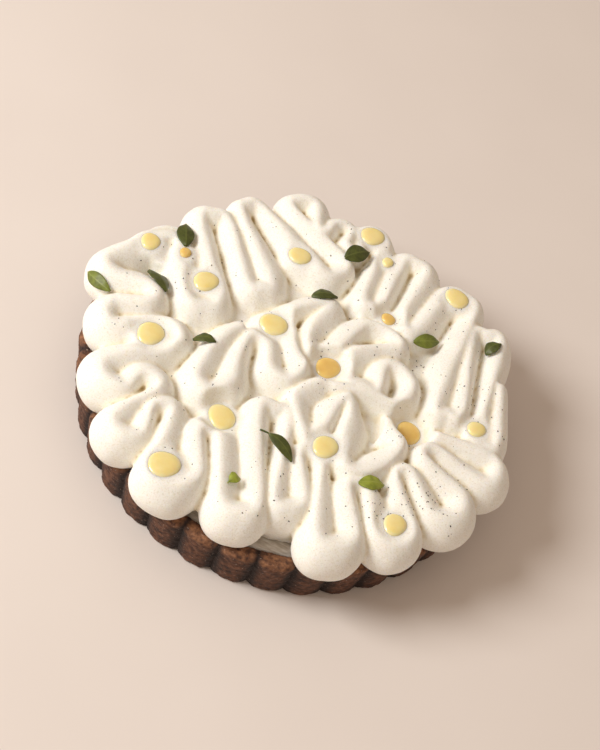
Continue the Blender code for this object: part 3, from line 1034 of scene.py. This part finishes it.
def vein_at(s, t):
    """How much of a vein there is: s from stalk to tip, t from edge to edge."""
    midrib = max(0, 1 - abs(t) / MIDRIB_HALF)
    phase = (s - VEIN_SLANT * abs(t) * 0.5) * LEAF_VEINS
    side = max(0, 1 - abs(phase - round(phase)) / SIDE_VEIN_HALF) * (1 - abs(t)) ** 0.5
    return max(midrib, SIDE_VEIN_SHARE * side)


def leaf_point(s, t, length, width, bend, stalk, side):
    """A point of a leaf, on its upper face for side 1 and its lower face for side -1."""
    along = (s - 0.5) * length
    across = t * leaf_half_width(s, width, stalk) + bend * (1 - (2 * s - 1) ** 2)
    dome = LEAF_DOME * (1 - (2 * s - 1) ** 2) - LEAF_FOLD * abs(t) * width
    wave = LEAF_WAVE * sin(LEAF_WAVES * tau * s) * t
    groove = VEIN_RELIEF * vein_at(s, t)
    return Vector((along, across, dome + wave - groove + side * LEAF_THICKNESS / 2))


def leaf_shape(length, width, bend, stalk, placed):
    """Both faces are the same grid, and the rim joins them."""
    bm = bmesh.new()
    veins = bm.verts.layers.float.new("vein")
    faces = {}
    for side in (1, -1):
        for i in range(LEAF_STEPS + 1):
            for j in range(LEAF_ACROSS + 1):
                s, t = i / LEAF_STEPS, 2 * j / LEAF_ACROSS - 1
                vert = bm.verts.new(placed @ leaf_point(s, t, length, width, bend, stalk, side))
                vert[veins] = vein_at(s, t)
                faces[side, i, j] = vert
        for i in range(LEAF_STEPS):
            for j in range(LEAF_ACROSS):
                bm.faces.new((faces[side, i, j], faces[side, i + 1, j],
                              faces[side, i + 1, j + 1], faces[side, i, j + 1]))
    rim = [(i, 0) for i in range(LEAF_STEPS)]
    rim += [(LEAF_STEPS, j) for j in range(LEAF_ACROSS)]
    rim += [(i, LEAF_ACROSS) for i in range(LEAF_STEPS, 0, -1)]
    rim += [(0, j) for j in range(LEAF_ACROSS, 0, -1)]
    for first, second in zip(rim, rim[1:] + rim[:1]):
        bm.faces.new((faces[1, first[0], first[1]], faces[1, second[0], second[1]],
                      faces[-1, second[0], second[1]], faces[-1, first[0], first[1]]))
    return bm


def make_leaves(surface, finishes):
    """Each leaf leans with the cream under it and is lowered until it all but touches."""
    for k, (x, y, length, width, heading, bend, stalk, tone) in enumerate(LEAVES, 1):
        node = "leaf_{:02d}".format(k)
        z, slope_x, slope_y = lie_of_cream(surface, x, y, length / 3)
        up = Vector((-slope_x, -slope_y, LEAF_LEVELLING)).normalized()
        lean = Vector((0, 0, 1)).rotation_difference(up).to_matrix().to_4x4()
        placed = Matrix.Translation((x, y, z)) @ lean @ Matrix.Rotation(radians(heading), 4, "Z")
        bm = leaf_shape(length, width, bend, stalk, placed)
        rise = max(height_on(surface, vert.co.x, vert.co.y) - vert.co.z for vert in bm.verts)
        bmesh.ops.translate(bm, verts=bm.verts, vec=(0, 0, rise))
        keep_piece(add_object("fine_" + node, bm, finishes[tone]), "leaf", node)


# Specks

def add_speck(bm, surface, x, y):
    """One flattened grain on the cream, unless the cream is missing or too steep there."""
    place, normal = surface.ray_cast(Vector((x, y, 2 * STRAND_TOP)) * MM, Vector((0, 0, -1)))[:2]
    size = chance.uniform(*SPECK_SIZES)
    turn = Matrix.Rotation(chance.uniform(0, tau), 4, "Z")
    stretch = Matrix.Diagonal((size * chance.uniform(*SPECK_LENGTHS), size, size * SPECK_FLATNESS, 1))
    if place is None or normal.z < SPECK_STEEPEST:
        return
    lean = Vector((0, 0, 1)).rotation_difference(normal).to_matrix().to_4x4()
    bmesh.ops.create_icosphere(
        bm, subdivisions=1, radius=1, matrix=Matrix.Translation(place / MM) @ lean @ turn @ stretch)


def make_specks(surface, finish):
    """Black specks of vanilla: more of them towards the right, and tufts where some fell together."""
    bm = bmesh.new()
    for k in range(LOOSE_SPECKS):
        angle, reach = chance.uniform(0, tau), SPECK_REACH * chance.random() ** 0.5
        x, y = reach * cos(angle), reach * sin(angle)
        if chance.random() < SPECK_LEFT_SHARE + SPECK_RIGHT_GAIN * (x + SPECK_REACH) / (2 * SPECK_REACH):
            add_speck(bm, surface, x, y)
    for x, y, spread, count in SPECK_TUFTS:
        for k in range(count):
            add_speck(bm, surface, chance.gauss(x, spread), chance.gauss(y, spread))
    keep_piece(add_object("specks", bm, finish), "crust")


# Surroundings

def add_floor():
    bm = bmesh.new()
    bmesh.ops.create_grid(bm, x_segments=4, y_segments=4, size=FLOOR_REACH)
    add_object("floor", bm, floor_material())


def add_window():
    data = bpy.data.lights.new("window", "AREA")
    data.shape = "DISK"
    data.size = WINDOW_SIZE * MM
    data.energy = WINDOW_POWER
    data.color = WINDOW_COLOUR
    window = bpy.data.objects.new("window", data)
    bpy.context.scene.collection.objects.link(window)
    spot = Vector(WINDOW_PLACE) * MM
    window.matrix_world = Matrix.Translation(spot) @ spot.to_track_quat("Z", "Y").to_matrix().to_4x4()


def light_room():
    world = bpy.data.worlds.new("studio")
    world.use_nodes = True
    background = world.node_tree.nodes["Background"]
    background.inputs["Color"].default_value = ROOM_COLOUR
    background.inputs["Strength"].default_value = ROOM_STRENGTH
    bpy.context.scene.world = world
    bpy.context.scene.view_settings.view_transform = "Standard"


def add_camera():
    right = Vector((1, 0, 0))
    up = Vector((0, sin(CAMERA_ELEVATION), cos(CAMERA_ELEVATION)))
    back = Vector((0, -cos(CAMERA_ELEVATION), sin(CAMERA_ELEVATION)))
    across = right * cos(CAMERA_ROLL) - up * sin(CAMERA_ROLL)
    upright = right * sin(CAMERA_ROLL) + up * cos(CAMERA_ROLL)
    data = bpy.data.cameras.new("camera")
    data.sensor_fit = "VERTICAL"
    data.sensor_height = SENSOR
    data.lens = SENSOR * FOCAL_PIXELS / FRAME_HEIGHT
    camera = bpy.data.objects.new("camera", data)
    bpy.context.scene.collection.objects.link(camera)
    turned = Matrix((across, upright, back)).transposed().to_4x4()
    camera.matrix_world = Matrix.Translation((CAMERA_TARGET + back * CAMERA_DISTANCE) * MM) @ turned
    bpy.context.scene.camera = camera


def main():
    add_camera()
    add_floor()
    add_window()
    light_room()
    make_crust(crust_material())
    make_filling(filling_material())
    cream = make_cream(cream_material())
    surface = surface_of(cream)
    pale = gel_material("lemon gel", (0.93, 0.85, 0.58), (0.92, 0.79, 0.38), (0.89, 0.72, 0.28))
    amber = gel_material("amber gel", (0.86, 0.68, 0.32), (0.83, 0.60, 0.20), (0.76, 0.50, 0.14))
    hollows = make_drops(pale, amber)
    make_leaves(surface, {
        "dark": leaf_material("dark basil", (0.068, 0.082, 0.010), (0.13, 0.15, 0.03)),
        "fresh": leaf_material("fresh basil", (0.15, 0.18, 0.022), (0.26, 0.30, 0.06)),
        "young": leaf_material("young basil", (0.28, 0.33, 0.035), (0.38, 0.42, 0.08)),
    })
    cut(cream, make_seat())
    cut(cream, hollows)
    drop_scraps(cream)
    # Painted shade in the cream's creases
    paint_crease_shade(cream)
    cream.data.shade_smooth()
    cream.data.set_sharp_from_angle(angle=SHARP_ANGLE)
    keep_piece(cream, "cream", "cream")
    make_specks(surface_of(cream), speck_material())


main()
